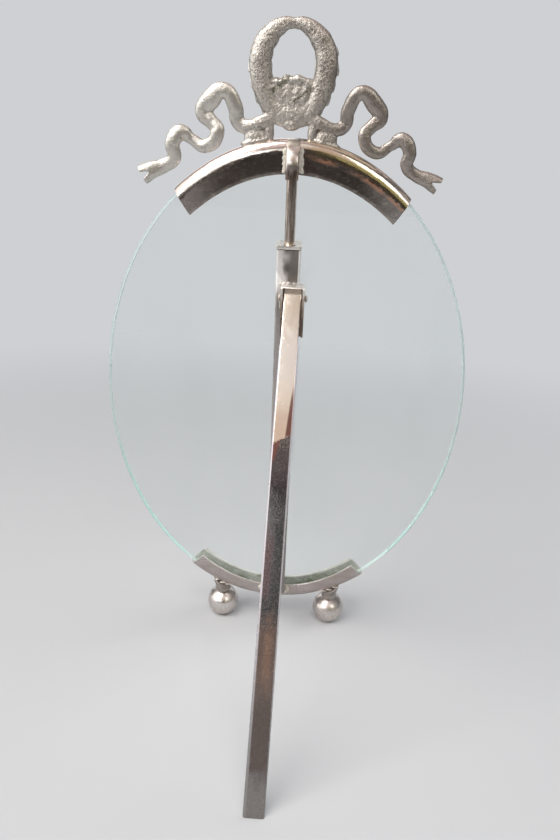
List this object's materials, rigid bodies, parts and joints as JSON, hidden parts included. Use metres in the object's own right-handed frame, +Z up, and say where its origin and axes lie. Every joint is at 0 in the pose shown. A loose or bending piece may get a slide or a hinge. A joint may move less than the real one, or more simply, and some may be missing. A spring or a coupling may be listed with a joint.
{
  "type": "oval photo frame",
  "caption": "Frameless oval glass photo frame held by channel clips on a sprung spine, with a wreath-and-ribbon crest, ball feet and a folding easel leg.",
  "frame": {"origin": "on the table, under the middle of the whole object's box at rest, with the leg open", "axes": "+Z up, the picture side faces -Y and leans back towards +Y, +X to the right as seen from the picture side"},
  "size_m": [0.127, 0.1072, 0.2186],
  "materials": {
    "plated_metal": "polished silver plate, worn warm",
    "cast_metal": "rough cast, plated, satin",
    "solder": "soft solder, satin",
    "steel": "drawn steel, tarnished",
    "glass": "clear, polished bevel, green edge"
  },
  "bodies": {
    "stand": {"bottom_clip": "plated_metal", "glass_plate": "glass", "spine_tube": "plated_metal", "tube_cap": "plated_metal", "tension_spring": "steel", "hinge_hood": "plated_metal", "hinge_pin": "steel", "foot_ball_left": "plated_metal", "foot_ball_right": "plated_metal", "foot_collar_left": "plated_metal", "foot_collar_right": "plated_metal", "foot_stud_left": "steel", "foot_stud_right": "steel"},
    "upper_clip": {"top_clip": "plated_metal", "crest_casting": "cast_metal", "rod_strap": "plated_metal", "rod_saddle": "solder", "tension_rod": "steel", "spring_washer": "steel", "rod_nut": "steel"},
    "leg": {"easel_leg": "plated_metal"}
  },
  "joints": [
    {"name": "clip_lift", "type": "slide", "parent": "stand", "child": "upper_clip", "axis": [0, 0.2079, 0.9781], "range_m": [0, 0.012], "stiffness_N_per_m": 800, "springref_m": -0.012, "deforming": ["tension_spring"]},
    {"name": "leg_fold", "type": "hinge", "parent": "stand", "child": "leg", "pos_m": [-0.002, -0.00322, 0.14263], "axis": [1, 0, 0], "range_deg": [-33, 0]}
  ]
}
